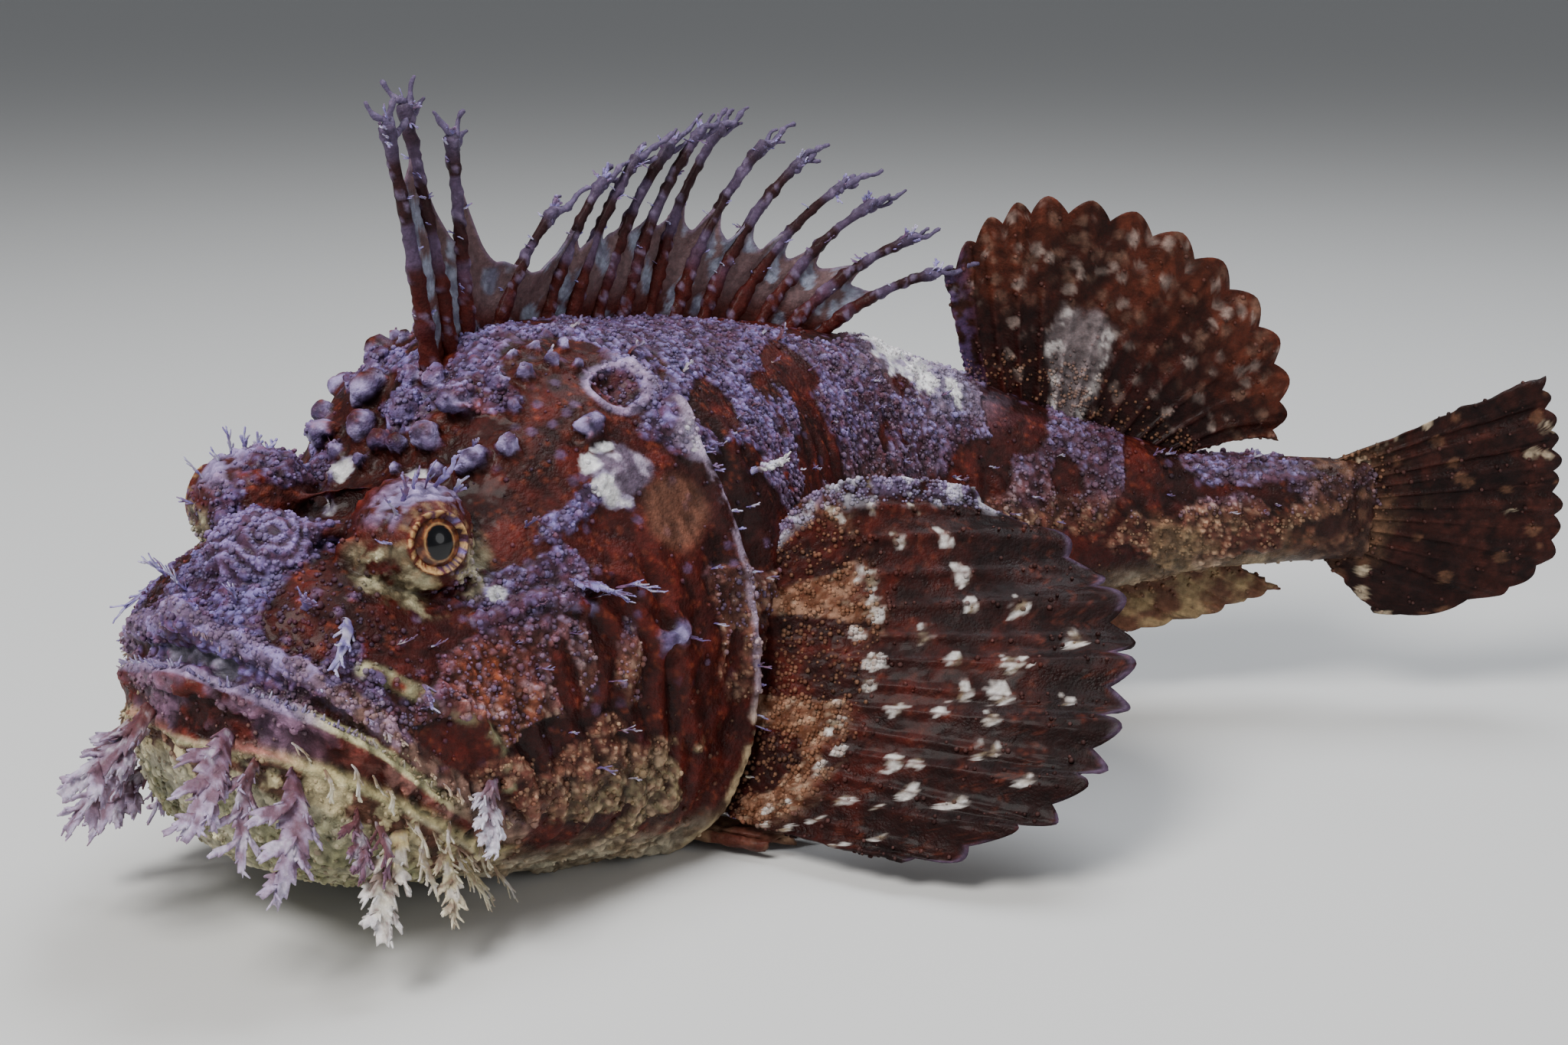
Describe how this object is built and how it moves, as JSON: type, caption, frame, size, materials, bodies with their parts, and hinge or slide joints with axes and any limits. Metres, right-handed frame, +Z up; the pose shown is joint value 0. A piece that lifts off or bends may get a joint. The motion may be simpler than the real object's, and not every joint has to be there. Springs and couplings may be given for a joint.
{
  "type": "sea raven fish model",
  "caption": "Life-size sea raven resting on its belly, head turned, with warty skull, open mouth, fringed chin, free-tipped dorsal spines and spread fan fins.",
  "frame": {"origin": "centre of the bounding box, on the floor plane", "axes": "+Z up; the tail points along +X; the snout points towards -X and -Y, about 55 degrees off the tail's line"},
  "size_m": [0.3838, 0.2598, 0.1805],
  "materials": {
    "skin": "painted, slightly damp sheen, red-brown mottled with mauve grey",
    "jaw_skin": "painted, slightly damp sheen, pale greenish cream with red-brown blotches",
    "eye": "polished",
    "fin": "painted, satin, ribbed by the rays"
  },
  "bodies": {
    "root": {"head": "skin", "torso": "skin", "tail_stem": "skin", "lower_jaw": "jaw_skin", "eye_left": "eye", "eye_right": "eye", "first_dorsal_fin": "fin", "second_dorsal_fin": "fin", "anal_fin": "fin", "tail_fin": "fin", "pectoral_fin_left": "fin", "pectoral_fin_right": "fin", "pelvic_fin_left": "fin", "pelvic_fin_right": "fin"}
  },
  "joints": []
}
